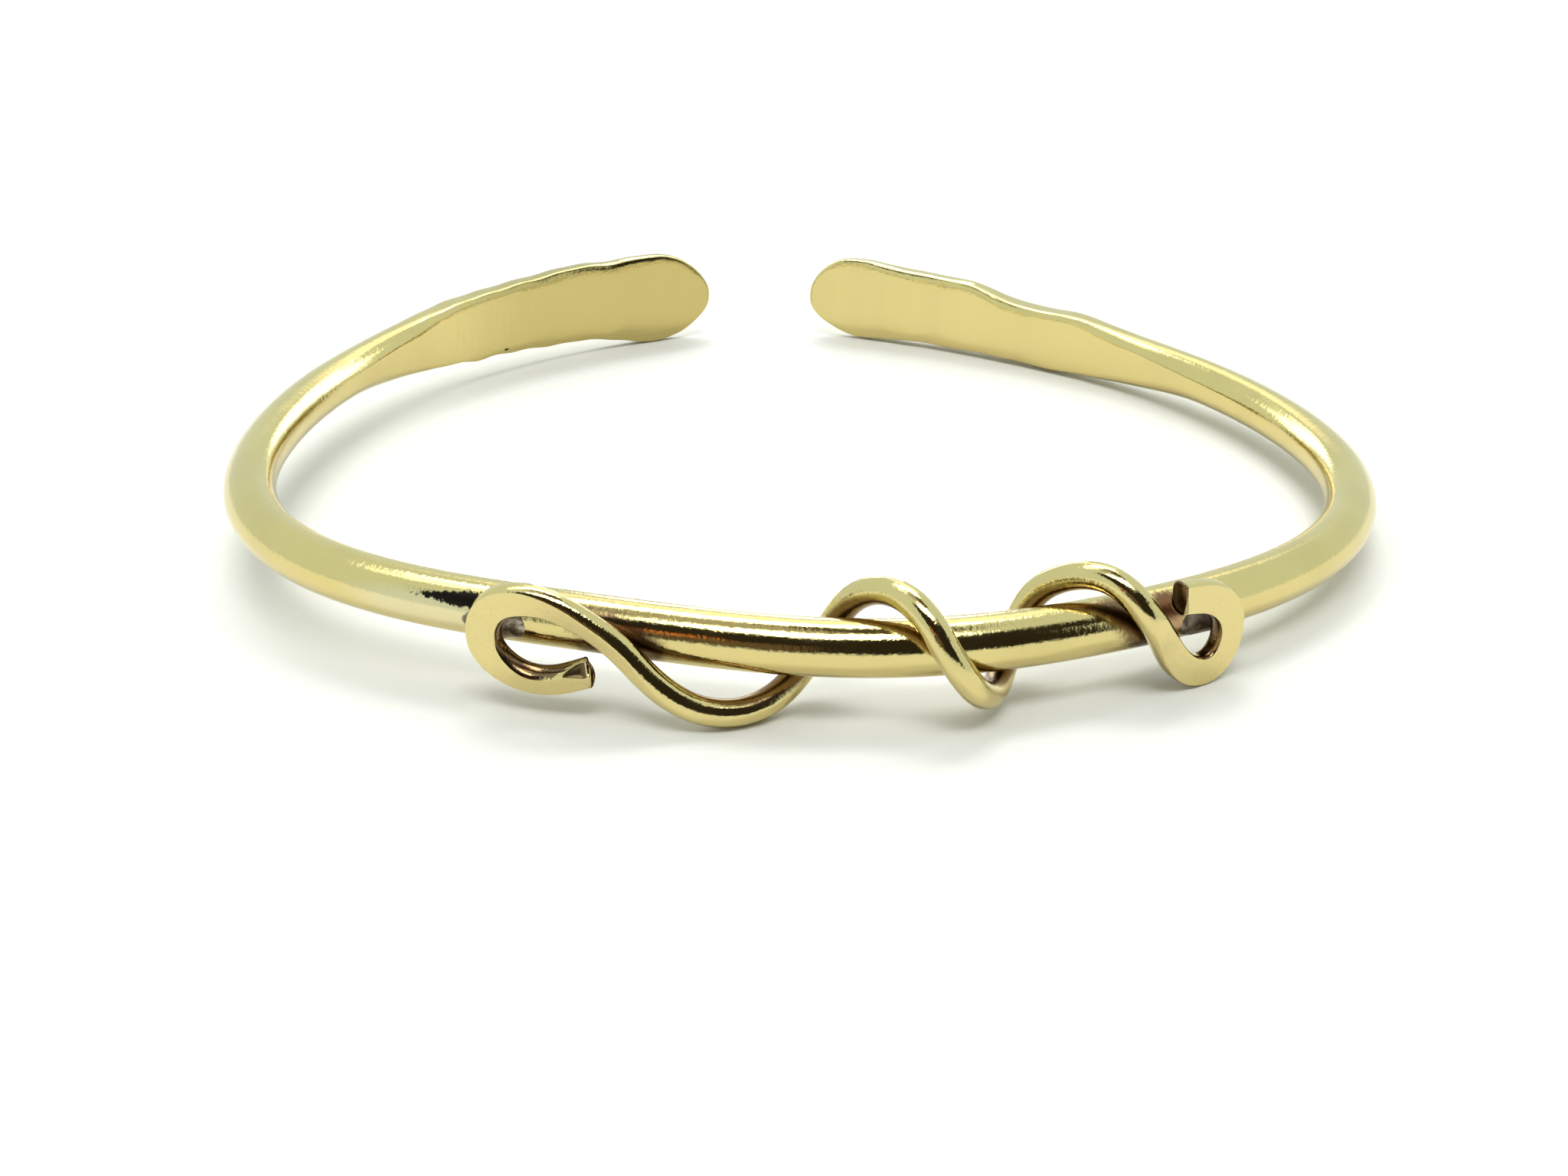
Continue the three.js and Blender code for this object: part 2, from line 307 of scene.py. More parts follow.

# Places of the rod's round stains: middle (along, around) and half size. The heat stains
# beside the hooks also end at a distance from the wire. They are partly heat colour and partly
# painted shade from the wire, and everything close to the wire gets painted shade.
STAIN_SPOTS = {
    "pale": ((-16.2, 0.1), (3.4, 0.75)),
    "fire_red": ((17.1, 1.05), (0.9, 0.7)),
    "fire_tan": ((17.5, 0.2), (1.0, 0.8)),
}
LEFT_HEAT_AND_SHADE = ((-7.2, 0.0), (2.2, 1.9))
RIGHT_HEAT_AND_SHADE = ((15.0, -0.1), (2.6, 2.2))
LEFT_HEAT_AND_SHADE_REACH = 0.75
RIGHT_HEAT_AND_SHADE_REACH = 0.85
PAINTED_SHADE_RIM = 0.2

# The soot is a wedge along the rod beside the left hook: its half width, where its point
# is, how fast it widens, where it ends, and the middle and slope of its own line.
SOOT_HALF_WIDTH = 0.34
SOOT_POINT = -16.9
SOOT_GROWTH = 2.4
SOOT_END = -13.2
SOOT_MIDDLE = (-15, 0.83)
SOOT_SLOPE = 0.05

# A dark pit on the left paddle (distance from the tip, place around, radius), and where the
# left paddle's darkening towards its tip ends, over what distance it fades and how strong it
# is at most.
PIT = (15.3, -3.37, 0.13)
DARKENING_END = 17
DARKENING_FADE = 8
DARKENING_MOST = 0.45

# Fire scale on the hooks' inner walls, whose ends are shares of the wire's length, and how
# far behind the wire's middle its back, which faces the rod, gets painted shade.
SCALE_HALF_WIDTH = 0.6
LEFT_SCALE_END = (0.15, 0.2)
RIGHT_SCALE_START = (0.87, 0.9)
SCALE_THRESHOLD = 0.38
BACK_SHADE_DEPTH = 0.3

# Stains and painted shade, from the lowest layer up: mask, colour, how much rougher the metal
# is, and the border's raggedness and softness.
ROD_STAINS_AND_SHADE = [
    # Darkens the left paddle towards its tip.
    ("darker_left_paddle", (0.565, 0.46, 0.176), 0.03, 0.8, 0.6),
    ("pale", (0.74, 0.645, 0.37), 0.05, 0.5, 0.3),
    # Beside the wire: partly heat colour, partly painted shade where the wire shades the rod.
    ("heat_tint_and_painted_shade", (0.19, 0.125, 0.06), 0.12, 0.9, 0.3),
    ("fire_tan", (0.46, 0.30, 0.15), 0.16, 1.2, 0.2),
    ("fire_red", (0.25, 0.12, 0.06), 0.12, 1.1, 0.22),
    ("soot", (0.02, 0.017, 0.014), 0.2, 0.65, 0.04),
]
WIRE_STAINS_AND_SHADE = [
    ("filed", (0.73, 0.605, 0.275), 0.17, 0.1, 0.05),
    # Painted shade on the wire's back, where it faces the rod.
    ("painted_back_shade", (0.24, 0.16, 0.08), 0.12, 0.3, 0.14),
    ("fire_scale", (0.22, 0.145, 0.075), 0.06, 0.7, 0.06),
    # Cut faces: a cut tint, darkened further as a painted dark reflection.
    ("cut_tint_and_dark_reflection", (0.17, 0.12, 0.06), 0.2, 0.03, 0.02),
]
ROD_COLOR = (0.715, 0.592, 0.252)
WIRE_COLOR = (0.72, 0.60, 0.265)

# Roughness of polished brass, and what haze and scratches add to it. The ripples and swells
# in its surface are in metres.
POLISH = 0.07
HAZE = 0.08
SCRATCHES = 0.06
DRIFT_SHADE = 0.94
RIPPLE_DEPTH = 0.000014
SWELL_DEPTH = 0.00003

# Roughness of bare solder and what burnt flux adds to it, the depth of its grain in metres,
# and how much deeper than the grain its pits are.
SOLDER_ROUGHNESS = 0.32
FLUX_ROUGHNESS = 0.14
GRAIN_DEPTH = 0.00003
PIT_DEPTH = 1.5

# The studio, in metres and degrees.
FLOOR_REACH = 0.6
FLOOR_COLOR = (0.85, 0.85, 0.83)
FLOOR_ROUGHNESS = 0.6
CARD_SIZE = (0.030, 0.018)
CARD_PLACE = (0, 0.042, 0.021)
CARD_TILT = -90
CARD_GLOW = 3
CAMERA_LENS = 42.19
CAMERA_SENSOR = 36
CAMERA_NEAR = 0.001
CAMERA_PLACE = (0.000168, -0.094814, 0.041004)
CAMERA_TURN = 0.786
CAMERA_DIP = 26.48
CAMERA_ROLL = -0.21

# Mesh density.
ROD_RINGS = 1100
ROD_SIDES = 80
ROD_CROWDING = 0.65
ROD_END_SHARE = 0.00002
WIRE_RINGS = 1430
NIP_RINGS = 60
RUN_UP_RINGS = 12
FLAT_POINTS, EDGE_POINTS, BACK_POINTS = 25, 6, 34
SOLDER_ROWS = 120
SOLDER_COLUMNS = 90

# How finely lines are sampled, the stretch of rod beside the wire, and how many neighbours
# round a corner of WIRE_SHAPE.
ROD_SAMPLES = 8001
WIRE_SAMPLES = 6001
GAP_SAMPLES = 500
NEAR_SAMPLES = 1500
ROD_BESIDE_WIRE = (-18, 26)
SMOOTHING_WINDOW = 41

UP = np.array([0.0, 0.0, 1.0])


# ---- Small helpers ----


def unit(vectors):
    """Vectors scaled to length 1."""
    return vectors / np.linalg.norm(vectors, axis=-1, keepdims=True)


def smoothstep(value, low, high):
    """0 below low, 1 above high, and a smooth ramp between."""
    t = np.clip((value - low) / (high - low), 0, 1)
    return t * t * (3 - 2 * t)


def smooth_min(a, b, width):
    """The smaller of a and b, with the corner between them rounded over width."""
    h = np.clip(0.5 + 0.5 * (b - a) / width, 0, 1)
    return b * (1 - h) + a * h - width * h * (1 - h)


def outline_at(rows, distance, column):
    """A smooth curve through an outline's rows, whose tip end is round."""
    places = np.sqrt([row[0] for row in rows])
    values = np.array([row[column] for row in rows], float)
    slopes = np.gradient(values, places)
    slopes[-1] = 0
    place = np.sqrt(np.clip(distance, 0, rows[-1][0]))
    i = np.clip(np.searchsorted(places, place) - 1, 0, len(rows) - 2)
    span = places[i + 1] - places[i]
    t = (place - places[i]) / span
    start = (2 * t**3 - 3 * t**2 + 1) * values[i] + (t**3 - 2 * t**2 + t) * span * slopes[i]
    end = (3 * t**2 - 2 * t**3) * values[i + 1] + (t**3 - t**2) * span * slopes[i + 1]
    return start + end


# ---- The rod's centre line ----


def oval(angle):
    """Points of the rod's centre line, and its direction of travel, at angles round it."""
    share = np.ones_like(angle)
    change = np.zeros_like(angle)
    for waves, cosine, sine in OVAL:
        share += cosine * np.cos(waves * angle) + sine * np.sin(waves * angle)
        change += waves * (sine * np.cos(waves * angle) - cosine * np.sin(waves * angle))
    radial = np.stack([np.cos(angle), np.sin(angle), 0 * angle], -1)
    turning = np.stack([-np.sin(angle), np.cos(angle), 0 * angle], -1)
    point = CUFF_RADIUS * share[..., None] * radial
    return point, unit(change[..., None] * radial + share[..., None] * turning)


def arc_lengths(points):
    """The distance along a row of points to each of them."""
    steps = np.linalg.norm(np.diff(points, axis=0), axis=1)
    return np.concatenate([[0], np.cumsum(steps)])


ROD_ANGLES = np.linspace(LEFT_TIP_ANGLE, RIGHT_TIP_ANGLE, ROD_SAMPLES)
ROD_DISTANCES = arc_lengths(oval(ROD_ANGLES)[0])
ROD_LENGTH = ROD_DISTANCES[-1]
FRONT_DISTANCE = np.interp(FRONT_ANGLE, ROD_ANGLES, ROD_DISTANCES)


def rod_frame(distance):
    """Centre, direction of travel and outward direction of the rod at distances along it."""
    distance = np.asarray(distance, float)
    centre, tangent = oval(np.interp(distance, ROD_DISTANCES, ROD_ANGLES))
    return centre, tangent, np.cross(tangent, UP)


def beside(along, out, up, rule_at=None):
    """A place beside the rod, measured along a straight rule laid at rule_at if it is given."""
    rule_at = along if rule_at is None else rule_at
    centre, tangent, outward = rod_frame(FRONT_DISTANCE + rule_at)
    return centre + (along - rule_at) * tangent + out * outward + up * UP


# ---- Mesh making ----


def stand_matrix():
    """The lean that stands the cuff on the floor, as the CAD model stands."""
    return Matrix.Rotation(REST_PITCH, 3, "X") @ Matrix.Rotation(REST_ROLL, 3, "Y")


LEAN = np.array(stand_matrix())


def stand_offset():
    """The shift that brings the leaning rod onto the CAD rod's box."""
    rod = rod_rings(hammered=False).reshape(-1, 3) @ LEAN.T
    low, high = (np.array(corner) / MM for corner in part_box("cuff_rod"))
    return (low + high) / 2 - (rod.min(0) + rod.max(0)) / 2


def tube_faces(rings, sides):
    """Quads round a row of rings, and a fan of triangles to a point at each end."""
    faces = []
    for r in range(rings - 1):
        for s in range(sides):
            n = (s + 1) % sides
            faces.append((r * sides + s, (r + 1) * sides + s, (r + 1) * sides + n, r * sides + n))
    first, last = rings * sides, rings * sides + 1
    for s in range(sides):
        n = (s + 1) % sides
        faces.append((first, s, n))
        faces.append((last, (rings - 1) * sides + n, (rings - 1) * sides + s))
    return faces


def tube_object(name, rings, straight, masks):
    """A closed tube through rings of points. Each point also stores its place on the tube
    as if it were straight, in millimetres, and some masks."""
    count, sides = rings.shape[:2]
    ends = np.stack([rings[0].mean(0), rings[-1].mean(0)])
    points = np.concatenate([rings.reshape(-1, 3), ends])
    points = (points @ LEAN.T + OFFSET) * MM
    mesh = bpy.data.meshes.new(name)
    mesh.from_pydata(points.tolist(), [], tube_faces(count, sides))
    mesh.shade_smooth()
    for mask_name, values in masks.items():
        flat = np.concatenate([values.ravel(), [values[0].mean(), values[-1].mean()]])
        layer = mesh.attributes.new(mask_name, "FLOAT", "POINT")
        layer.data.foreach_set("value", flat.astype(np.float32))
    ends = np.stack([straight[0].mean(0), straight[-1].mean(0)])
    layer = mesh.attributes.new("straight", "FLOAT_VECTOR", "POINT")
    places = np.concatenate([straight.reshape(-1, 3), ends])
    layer.data.foreach_set("vector", places.astype(np.float32).ravel())
    piece = bpy.data.objects.new(name, mesh)
    bpy.context.scene.collection.objects.link(piece)
    return piece


# ---- The rod ----


def rod_section(distance):
    """Half height above and below, half thickness and flatness of the rod's section."""
    from_right = ROD_LENGTH - distance
    from_tip = np.minimum(distance, from_right)
    above, below = (
        np.where(
            distance < from_right,
            outline_at(LEFT_PADDLE, from_tip, column),
            outline_at(RIGHT_PADDLE, from_tip, column),
        )
        for column in (1, 2)
    )
    widest = np.maximum(above + below, np.where(from_tip < TIP_STRETCH, TIP_WIDTH, 0))
    spread = widest / (2 * ROD_RADIUS)
    even = ROD_RADIUS / spread**THINNING_POWER
    tip_share = smoothstep(from_tip, 0, TIP_THINNING_LENGTH)
    half_thickness = TIP_THICKNESS / 2 * (1 - tip_share) + even * tip_share
    tip_round = np.sqrt(1 - (1 - np.clip(from_tip / TIP_ROUNDING, 0, 1)) ** 2)
    flatness = 1 - BOXINESS * np.clip((spread - 1) / BOXY_SPREAD, 0, 1)
    return above, below, half_thickness * tip_round, flatness


def ring_distances():
    """Distances of the rod's rings, crowded near the two tips."""
    share = np.linspace(0.0, 1.0, ROD_RINGS)
    crowded = (1 - np.cos(np.pi * share)) / 2
    mixed = share * (1 - ROD_CROWDING) + crowded * ROD_CROWDING
    return ROD_LENGTH * np.clip(mixed, ROD_END_SHARE, 1 - ROD_END_SHARE)


def hammer_marks(along, up, seed):
    """How deep overlapping hammer strikes leave the surface at places on a face."""
    draw = np.random.default_rng(seed)
    depth = np.full(along.shape, -1.0)
    for _ in range(HAMMER_STRIKES):
        at = draw.uniform(*STRIKE_ALONG)
        high = draw.uniform(*STRIKE_UP)
        strike = draw.uniform(*STRIKE_DEPTH)
        wide = draw.uniform(*DISH_ACROSS)
        long = draw.uniform(*DISH_ALONG)
        depth = np.maximum(depth, strike - (along - at) ** 2 / long - (up - high) ** 2 / wide)
    return depth


def edge_waves(from_tip, seed):
    """How the hammered edges of a paddle wander in and out along it."""
    draw = np.random.default_rng(seed)
    wander = np.zeros_like(from_tip)
    for _ in range(EDGE_WAVES):
        length = draw.uniform(*EDGE_WAVE_LENGTH)
        height = draw.uniform(*EDGE_WAVE_HEIGHT)
        phase = draw.uniform()
        wander += height * np.sin(2 * np.pi * (from_tip / length + phase))
    grown = smoothstep(from_tip, *EDGE_WAVES_GROW)
    return wander * grown * (1 - smoothstep(from_tip, *EDGE_WAVES_FADE))


def inner_flat(inward, up, from_tip, half_thickness):
    """Keeps the rod's inner side behind a flat that starts low down as a pointed wedge."""
    fade_from, fade_to = FLAT_CUT_FADE
    cut = FLAT_CUT * smoothstep(-from_tip, -fade_to, -fade_from)
    room = half_thickness * (1 - cut) + FLAT_LEAN * up
    room = room + FLAT_END_ROOM * smoothstep(from_tip, *FLAT_END)
    room = room + PADDLE_ROOM * (1 - smoothstep(from_tip, *PADDLE_END))
    return smooth_min(inward, room, EDGE_ROUNDING)


def round_angles():
    """Angles round the rod's section, from its outward side upwards."""
    return np.linspace(0, 2 * np.pi, ROD_SIDES, endpoint=False)[None, :]


def wavy_edges(sine, from_tip, is_left):
    """How far each edge of each paddle wanders, from a seed of its own."""
    upper = np.where(is_left, edge_waves(from_tip, 21), edge_waves(from_tip, 22))
    lower = np.where(is_left, edge_waves(from_tip, 23), edge_waves(from_tip, 24))
    return np.where(sine > 0, upper, lower)


def face_marks(side, up, from_tip, is_left):
    """The hammer marks on each face of each paddle, from a seed of its own."""
    marks = np.where(
        is_left,
        np.where(side > 0, hammer_marks(from_tip, up, 3), hammer_marks(from_tip, up, 4)),
        np.where(side > 0, hammer_marks(from_tip, up, 5), hammer_marks(from_tip, up, 6)),
    )
    return np.clip(marks, *MARK_LIMITS) * (1 - smoothstep(from_tip, *HAMMERED_END))


def rod_rings(hammered=True):
    """Rings of the rod's surface, with its hammer marks and inner flat or without them."""
    distance = ring_distances()[:, None]
    angle = round_angles()
    cosine, sine = np.cos(angle), np.sin(angle)
    centre, _, outward = rod_frame(distance)
    above, below, half_thickness, flatness = rod_section(distance)
    from_tip = np.minimum(distance, ROD_LENGTH - distance) + 0 * angle
    is_left = distance < ROD_LENGTH / 2
    half = np.where(sine > 0, above, below)
    if hammered:
        half = half + wavy_edges(sine, from_tip, is_left)
    side = np.sign(cosine)
    out = side * np.abs(cosine) ** flatness * half_thickness
    up = np.sign(sine) * np.abs(sine) ** flatness * half
    if hammered:
        face = np.sqrt(np.abs(cosine))
        out = out - side * face_marks(side, up, from_tip, is_left) * face
        out = np.where(side < 0, -inner_flat(-out, up, from_tip, half_thickness), out)
    return centre + out[..., None] * outward + up[..., None] * UP


# ---- The wound wire ----


def wire_pull_points():
    """All the points that pull the wire's centre line, from its left tip to its right."""
    left = [beside(along, HOOK_OUT, up, LEFT_HOOK_AT) for along, up in LEFT_HOOK]
    winding = [beside(along, out, up) for along, out, up in WINDING]
    right = [beside(along, HOOK_OUT, up, RIGHT_HOOK_AT) for along, up in RIGHT_HOOK]
    return np.array(left + winding + right)


def b_spline(points, t):
    """A uniform cubic B-spline drawn towards points, at shares t of the way along it."""
    spans = len(points) - 3
    first = np.minimum((t * spans).astype(int), spans - 1)
    f = (t * spans - first)[:, None]
    return (
        (1 - f) ** 3 / 6 * points[first]
        + (3 * f**3 - 6 * f**2 + 4) / 6 * points[first + 1]
        + (-3 * f**3 + 3 * f**2 + 3 * f + 1) / 6 * points[first + 2]
        + f**3 / 6 * points[first + 3]
    )


def wire_line(rings):
    """Points evenly along the wire's centre line, with its direction at each."""
    fine = b_spline(wire_pull_points(), np.linspace(0, 1, WIRE_SAMPLES))
    lengths = arc_lengths(fine)
    wanted = np.linspace(0, lengths[-1], rings)
    centre = np.stack([np.interp(wanted, lengths, fine[:, i]) for i in range(3)], -1)
    return centre, unit(np.gradient(centre, axis=0))


def away_from_rod(points):
    """Unit vectors from the nearest point of the rod's centre line to each point."""
    along = np.linspace(*ROD_BESIDE_WIRE, NEAR_SAMPLES)
    centres = rod_frame(FRONT_DISTANCE + along)[0]
    offsets = points[:, None, :] - centres[None, :, :]
    nearest = np.argmin((offsets**2).sum(-1), axis=1)
    return unit(offsets[np.arange(len(points)), nearest])


def smoothed(values):
    """Values with their corners rounded, over a window of neighbours."""
    weights = np.hanning(SMOOTHING_WINDOW)
    padded = np.pad(values, SMOOTHING_WINDOW // 2, mode="edge")
    return np.convolve(padded, weights / weights.sum(), mode="valid")


def section_angles(corner):
    """Angles round the wire's section, with a few close together at each filed corner."""
    flat = np.linspace(-1, 1, FLAT_POINTS)[None, :] * (corner - EDGE_ANGLE)
    edge = np.linspace(-1, 1, EDGE_POINTS)[None, 1:] * EDGE_ANGLE + corner
    back = np.linspace(0, 1, BACK_POINTS)[None, 1:-1]
    back = corner + EDGE_ANGLE + back * (2 * np.pi - 2 * (corner + EDGE_ANGLE))
    return np.concatenate([flat, edge, back, 2 * np.pi - edge[:, ::-1]], axis=1)


def wire_facing(centre, tangent, share, tilt):
    """The direction that the wire's filed face looks: outwards in a hook, away from the rod
    in the winding."""
    is_left = (share < 0.5)[:, None]
    left, right = (rod_frame(FRONT_DISTANCE + at)[2] for at in (LEFT_HOOK_AT, RIGHT_HOOK_AT))
    level = np.where(is_left, left, right)
    leaning = level * np.cos(tilt)[:, None] + UP * np.sin(tilt)[:, None]
    winding = smoothstep(share, *LEFT_TURN) * (1 - smoothstep(share, *RIGHT_TURN))
    facing = leaning * (1 - winding[:, None]) + away_from_rod(centre) * winding[:, None]
    return unit(facing - (facing * tangent).sum(-1, keepdims=True) * tangent)


def wire_rings():
    """Rings of the wire's surface and their places on a straight wire, with how much of each
    point is filed flat and how far it is inside the cutters' hollow."""
    centre, tangent = wire_line(WIRE_RINGS)
    share = np.linspace(0, 1, WIRE_RINGS)
    rows = np.array(WIRE_SHAPE)
    left, right, thick, fullness, room, tilt = (
        smoothed(np.interp(share, rows[:, 0], rows[:, column])) for column in range(1, 7)
    )
    facing = wire_facing(centre, tangent, share, np.radians(tilt))
    side = np.cross(facing, tangent)
    power = (2 / fullness)[:, None]
    corner = np.arccos(np.clip(room / thick, 0, FILED_LIMIT) ** (fullness / 2))
    angle = section_angles(corner[:, None])
    cosine, sine = np.cos(angle), np.sin(angle)
    half = np.where(sine > 0, left[:, None], right[:, None])
    proud = thick[:, None] * np.sign(cosine) * np.abs(cosine) ** power
    wide = half * np.sign(sine) * np.abs(sine) ** power
    depth = smooth_min(proud, room[:, None], EDGE_ROUNDING)
    rings = centre[:, None] + depth[..., None] * facing[:, None] + wide[..., None] * side[:, None]
    along = (share * WIRE_LENGTH)[:, None] + 0 * depth
    straight = np.stack([along, depth, wide], -1)
    filed = smoothstep(proud - room[:, None], *FILED_FINISH)
    nip = np.full(filed.shape, -1.0)
    rings[:NIP_RINGS], nip[:NIP_RINGS] = nipped(rings[:NIP_RINGS], centre[0])
    return rings, straight, filed, nip


def looking(along, look):
    """A unit vector given as shares along the rod, outwards and up, at a place on the rod."""
    _, travel, outward = rod_frame(FRONT_DISTANCE + along)
    return unit(look[0] * travel + look[1] * outward + look[2] * UP)


def nipped(rings, tip):
    """The hollow that the cutters left on the upper front of the wire's left tip, and how
    far inside it each point is."""
    normal = looking(LEFT_HOOK_AT, NIP_LOOK)
    proud = (rings - tip) @ normal - NIP_DEPTH
    hollow = NIP_HOLLOW * smoothstep(proud, 0, NIP_HOLLOW_REACH)
    kept = smooth_min(proud, 0.0, NIP_ROUNDING) - hollow
    return rings + (kept - proud)[..., None] * normal, proud


def cut_end(ring, inner, normal, reach, groove_depth):
    """Rings that carry a tube on to a cut plane, and close it with a grooved end face. Also
    how large each ring is beside the tube's last one."""
    direction = unit(ring.mean(0) - inner.mean(0))
    point = ring.mean(0) + reach * normal
    travel = ((point - ring) @ normal / (direction @ normal))[:, None]
    cut = ring + travel * direction
    middle = cut.mean(0)
    upright = unit(UP - (UP @ normal) * normal)
    across = np.cross(normal, upright)
    rings = [ring + share * (travel - LEAD_IN_STOP) * direction for share in LEAD_IN]
    for size, back in CUT_END:
        flat = middle + (cut - middle) * size - back * normal
        offset = (flat - middle) @ across
        groove = groove_depth * np.clip(1 - (offset / GROOVE_HALF_WIDTH) ** 2, 0, 1)
        groove = groove * np.clip((1 - size) * GROOVE_STEEPNESS, 0, 1)
        rings.append(flat - groove[:, None] * normal)
    sizes = [1.0] * len(LEAD_IN) + [size for size, _ in CUT_END]
    return rings, sizes


def with_ends(values, start_cap, end_cap):
    """Values on the wire's rings, carried on over the lead-in rings and the two caps."""
    lead_in = len(LEAD_IN)
    first, last = [values[0]] * lead_in, [values[-1]] * lead_in
    return np.concatenate([start_cap, first, values, last, end_cap])


def whole_wire():
    """The wire's rings with both cut ends, its straight places and its masks."""
    rings, straight, filed, nip = wire_rings()
    left_look, left_reach, left_groove = LEFT_CUT
    right_look, right_reach, right_groove = RIGHT_CUT
    left_normal = looking(LEFT_HOOK_AT, left_look)
    right_normal = looking(RIGHT_HOOK_AT, right_look)
    left_inner, right_inner = rings[RUN_UP_RINGS], rings[-1 - RUN_UP_RINGS]
    left, sizes = cut_end(rings[0], left_inner, left_normal, left_reach, left_groove)
    right, _ = cut_end(rings[-1], right_inner, right_normal, right_reach, right_groove)
    start = [straight[0] * (1, size, size) for size in sizes]
    end = [straight[-1] * (1, size, size) for size in sizes]
    all_rings = np.concatenate([left[::-1], rings, right])
    all_straight = np.concatenate([start[::-1], straight, end])
    cap = np.ones((len(CUT_END), rings.shape[1]))
    all_filed = with_ends(filed, 0 * cap, 0 * cap)
    all_nip = with_ends(nip, -cap, cap)
    bright_rim = smoothstep(all_nip, *NIP_BRIGHT_RIM)
    masks = {
        "filed": all_filed - 0.5,
        # Painted shade on the wire's back, where it faces the rod.
        "painted_back_shade": -BACK_SHADE_DEPTH - all_straight[..., 1],
        "fire_scale": wire_scale(all_straight) - all_filed - bright_rim,
        # The cutters' hollow and the right end face: cut tint with a painted dark reflection.
        "cut_tint_and_dark_reflection": all_nip - DARK_FACE_INSET,
    }
    return all_rings, all_straight, masks


# ---- Node helpers ----

# A Mix node has sockets for every kind of value. These are the ones for colours.
MIX_COLOR_INPUTS = (0, 6, 7)
MIX_COLOR_OUTPUT = 2


class Nodes:
    """Builds a node tree with short calls. Values may be numbers or other nodes' outputs."""

    def __init__(self, tree):
        self.tree = tree

    def add(self, kind, inputs=None, **settings):
        """A new node, with its inputs fed by name."""
        made = self.tree.nodes.new(kind)
        for key, value in settings.items():
            setattr(made, key, value)
        for key, value in (inputs or {}).items():
            self.feed(made.inputs[key], value)
        return made

    def feed(self, socket, value):
        """Links an output to a socket, or sets the socket's own value."""
        if isinstance(value, bpy.types.NodeSocket):
            self.tree.links.new(value, socket)
        else:
            socket.default_value = value

    def math(self, operation, *values):
        """One operation on numbers or outputs."""
        made = self.add("ShaderNodeMath", operation=operation)
        for socket, value in zip(made.inputs, values):
            self.feed(socket, value)
        return made.outputs[0]

    def ramp(self, value, low, high):
        """A smooth rise from 0 at low to 1 at high, or a fall where low is above high."""
        inputs = {"Value": value, "From Min": low, "From Max": high}
        return self.add("ShaderNodeMapRange", inputs, interpolation_type="SMOOTHSTEP").outputs[0]

    def between(self, value, low, high, soft):
        """1 between low and high, with soft edges."""
        rise = self.ramp(value, low - soft, low + soft)
        return self.math("MULTIPLY", rise, self.ramp(value, high + soft, high - soft))

    def mix(self, share, first, second):
        """A share of the second colour over the first."""
        made = self.add("ShaderNodeMix", data_type="RGBA")
        for index, value in zip(MIX_COLOR_INPUTS, (share, first, second)):
            if isinstance(value, tuple):
                value = (*value, 1)
            self.feed(made.inputs[index], value)
        return made.outputs[MIX_COLOR_OUTPUT]

    def noise(self, place, scale, detail=2.0, roughness=0.5, stretch=(1, 1, 1)):
        """Noise with features about 1/scale mm wide at places in millimetres."""
        moved = self.add("ShaderNodeMapping", {"Vector": place, "Scale": stretch}).outputs[0]
        inputs = {"Vector": moved, "Scale": scale, "Detail": detail, "Roughness": roughness}
        return self.add("ShaderNodeTexNoise", inputs).outputs["Fac"]

    def bump(self, height, depth, inputs=None):
        """The surface direction over a relief of some depth in metres."""
        relief = {"Strength": 1, "Distance": depth, "Height": height, **(inputs or {})}
        return self.add("ShaderNodeBump", relief).outputs[0]


# ---- Materials ----


def new_material(name):
    """A new material, its nodes and its surface shader."""
    material = bpy.data.materials.new(name)
    material.use_nodes = True
    return material, Nodes(material.node_tree), material.node_tree.nodes["Principled BSDF"]


def ragged(nodes, place, mask, raggedness, soft):
    """A mask's inside, with a border broken up by noise that runs across the piece."""
    field = nodes.add("ShaderNodeAttribute", attribute_name=mask).outputs["Fac"]
    streaks = nodes.noise(place, 3.2, detail=5, roughness=0.65, stretch=(1.5, 1.0, 1.0))
    shifted = nodes.math("MULTIPLY_ADD", nodes.math("SUBTRACT", streaks, 0.5), raggedness, field)
    return nodes.ramp(shifted, -soft, soft)


def brass(name, color, roughness, stains_and_shade):
    """Polished brass: slight colour drift, fine lengthwise scratches, faint ripples. Each
    stain or patch of painted shade is a mask, a colour, how much rougher it is, and its
    border's raggedness and softness."""
    material, nodes, shader = new_material(name)
    place = nodes.add("ShaderNodeAttribute", attribute_name="straight").outputs["Vector"]
    drift = nodes.noise(place, 0.25, detail=3)
    shade = tuple(DRIFT_SHADE * channel for channel in color)
    tint = nodes.mix(nodes.ramp(drift, 0.35, 0.7), color, shade)
    shader.inputs["Metallic"].default_value = 1
    haze = nodes.noise(place, 1.2, detail=4, roughness=0.6, stretch=(0.4, 1, 1))
    scratches = nodes.noise(place, 9, detail=3, roughness=0.6, stretch=(0.06, 1, 1))
    rough = nodes.math("MULTIPLY_ADD", nodes.ramp(haze, 0.4, 0.75), HAZE, roughness)
    rough = nodes.math("MULTIPLY_ADD", nodes.ramp(scratches, 0.6, 0.8), SCRATCHES, rough)
    for mask, layer_color, rougher, raggedness, soft in stains_and_shade:
        share = ragged(nodes, place, mask, raggedness, soft)
        tint = nodes.mix(share, tint, layer_color)
        rough = nodes.math("MULTIPLY_ADD", share, rougher, rough)
    nodes.feed(shader.inputs["Base Color"], tint)
    nodes.feed(shader.inputs["Roughness"], rough)
    ripples = nodes.noise(place, 4.2, detail=3, roughness=0.6, stretch=(1.1, 0.8, 0.8))
    swells = nodes.noise(place, 0.45, stretch=(0.5, 1, 1))
    rippled = nodes.bump(ripples, RIPPLE_DEPTH)
    nodes.feed(shader.inputs["Normal"], nodes.bump(swells, SWELL_DEPTH, {"Normal": rippled}))
    return material


